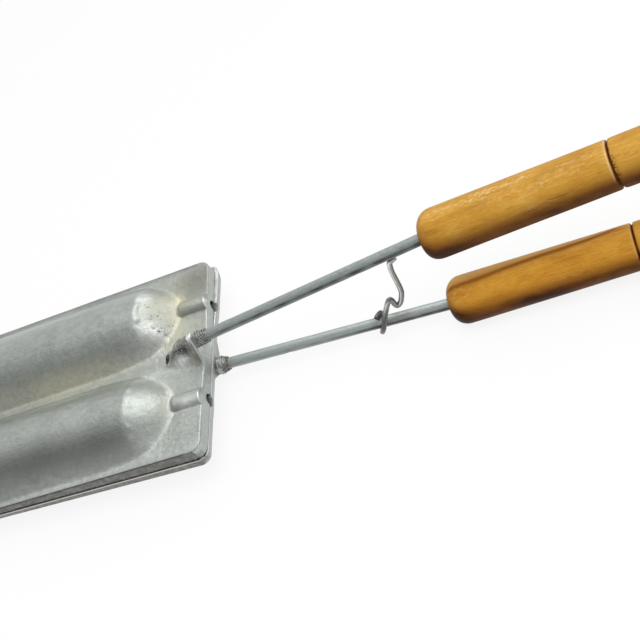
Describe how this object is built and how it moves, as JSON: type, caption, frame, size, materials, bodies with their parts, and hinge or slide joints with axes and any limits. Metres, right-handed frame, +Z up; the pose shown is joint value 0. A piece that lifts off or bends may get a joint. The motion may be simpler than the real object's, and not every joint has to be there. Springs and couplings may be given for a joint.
{
  "type": "two-trough baking iron",
  "caption": "Hand-held baking iron: two hinged cast halves with long troughs, on steel rods with turned wooden grips and a wire latch.",
  "frame": {"origin": "middle of the bottom of the bounding box; the iron lies on its lower bulges and the lower grip", "axes": "+X along the troughs towards the grips, +Y across the troughs, +Z up from the surface it lies on"},
  "size_m": [0.446, 0.1234, 0.0841],
  "materials": {
    "cast_plates": "sand-cast, dulled, greyed by heat with bright worn spots",
    "rod_steel": "drawn bar, bluish grey, slightly tarnished",
    "wire_steel": "bent wire, satin",
    "bright_steel": "plain steel, dull",
    "grip_wood": "turned hardwood, varnished honey-orange, worn"
  },
  "bodies": {
    "lower_half": {"lower_plate": "cast_plates", "hinge_pin": "bright_steel", "lower_rod": "rod_steel", "lower_grip": "grip_wood", "lower_washer": "bright_steel"},
    "upper_half": {"upper_plate": "cast_plates", "upper_rod": "rod_steel", "upper_grip": "grip_wood", "upper_washer": "bright_steel"},
    "latch": {"latch_wire": "wire_steel"}
  },
  "joints": [
    {"name": "opening", "type": "hinge", "parent": "lower_half", "child": "upper_half", "pos_m": [-0.21797, 0, 0.01846], "axis": [0, -1, 0], "range_deg": [0, 110]},
    {"name": "latch_swing", "type": "hinge", "parent": "lower_half", "child": "latch", "pos_m": [0.06472, -0.00109, 0.01227], "axis": [0.9998, -0.0174, -0.0049], "range_deg": [0, 120]}
  ]
}
